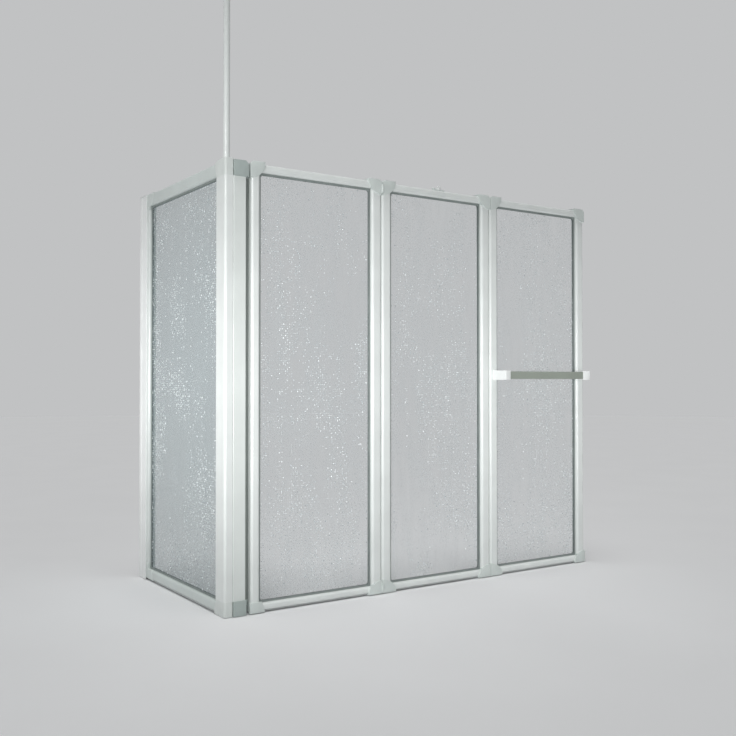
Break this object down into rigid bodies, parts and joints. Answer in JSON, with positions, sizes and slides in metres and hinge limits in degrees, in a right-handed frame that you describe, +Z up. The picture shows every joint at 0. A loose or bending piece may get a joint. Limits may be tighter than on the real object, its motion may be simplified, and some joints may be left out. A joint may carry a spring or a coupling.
{
  "type": "bath screen",
  "caption": "Corner bath screen: fixed side panel, ceiling pole and a bifold run of framed textured panels with a towel bar.",
  "frame": {"origin": "axis of the corner pole at the bath rim, on the underside of the corner foot", "axes": "+X along the front run of folding panels from the corner, +Y along the fixed side panel towards the rear wall, +Z up the pole towards the ceiling"},
  "size_m": [1.3727, 0.677, 1.9],
  "materials": {
    "white_frame": "satin white powder coat",
    "bracket_grey": "satin moulded",
    "cap_grey": "satin moulded",
    "bar_grey": "grey powder coat",
    "hinge_grey": "matt moulded",
    "white_plastic": "satin moulded",
    "textured_sheet": "clear, pebbled",
    "rubber_gasket": "matt",
    "seam_rubber": "matt",
    "seal_rubber": "matt",
    "steel": "zinc plated",
    "bare_aluminium": "mill"
  },
  "bodies": {
    "root": {"wall_profile": "white_frame", "wall_profile_cap": "white_plastic", "side_rear_stile": "white_frame", "side_top_rail": "white_frame", "side_bottom_rail": "white_frame", "side_rear_brackets": "bracket_grey", "side_glazing": "textured_sheet", "side_gasket": "rubber_gasket", "side_seal": "seal_rubber", "corner_post": "white_frame", "corner_cap": "white_plastic", "corner_foot": "white_plastic", "pole_lower": "white_frame", "pole_upper": "white_frame", "pole_spigot": "bare_aluminium", "ceiling_flange": "white_plastic", "ceiling_cover": "white_plastic", "hinge_profile": "white_frame", "hinge_caps": "cap_grey", "hinge_rod": "steel", "corner_screws": "steel"},
    "panel_1": {"panel_1_left_stile": "white_frame", "panel_1_right_stile": "white_frame", "panel_1_top_rail": "white_frame", "panel_1_bottom_rail": "white_frame", "panel_1_glazing": "textured_sheet", "panel_1_gasket": "rubber_gasket", "panel_1_top_brackets": "bracket_grey", "panel_1_bottom_brackets": "bracket_grey", "panel_1_seal": "seal_rubber", "panel_1_screws": "steel", "hinge_knuckle": "hinge_grey", "seam_strip_1": "seam_rubber", "hinge_pins_1": "steel"},
    "panel_2": {"panel_2_left_stile": "white_frame", "panel_2_right_stile": "white_frame", "panel_2_top_rail": "white_frame", "panel_2_bottom_rail": "white_frame", "panel_2_glazing": "textured_sheet", "panel_2_gasket": "rubber_gasket", "panel_2_top_brackets": "bracket_grey", "panel_2_bottom_brackets": "bracket_grey", "panel_2_seal": "seal_rubber", "panel_2_screws": "steel", "seam_strip_2": "seam_rubber", "hinge_pins_2": "steel", "catch_base": "bracket_grey"},
    "panel_3": {"panel_3_left_stile": "white_frame", "panel_3_right_stile": "white_frame", "panel_3_top_rail": "white_frame", "panel_3_bottom_rail": "white_frame", "panel_3_glazing": "textured_sheet", "panel_3_gasket": "rubber_gasket", "panel_3_top_brackets": "bracket_grey", "panel_3_bottom_brackets": "bracket_grey", "panel_3_seal": "seal_rubber", "panel_3_screws": "steel", "towel_bar": "bar_grey", "towel_bar_brackets": "bracket_grey"},
    "catch": {"catch_lever": "bracket_grey"}
  },
  "joints": [
    {"name": "fold_1", "type": "hinge", "parent": "root", "child": "panel_1", "pos_m": [0.0583, 0.0011, 0], "axis": [0, 0, 1], "range_deg": [0, 80]},
    {"name": "fold_2", "type": "hinge", "parent": "panel_1", "child": "panel_2", "pos_m": [0.49155, -0.0224, 0], "axis": [0, 0, 1], "range_deg": [-170, 0]},
    {"name": "fold_3", "type": "hinge", "parent": "panel_2", "child": "panel_3", "pos_m": [0.91195, 0.0106, 0], "axis": [0, 0, 1], "range_deg": [0, 180]},
    {"name": "catch_turn", "type": "hinge", "parent": "panel_2", "child": "catch", "pos_m": [0.7117, -0.0049, 0], "axis": [0, 0, 1], "range_deg": [0, 90]}
  ]
}
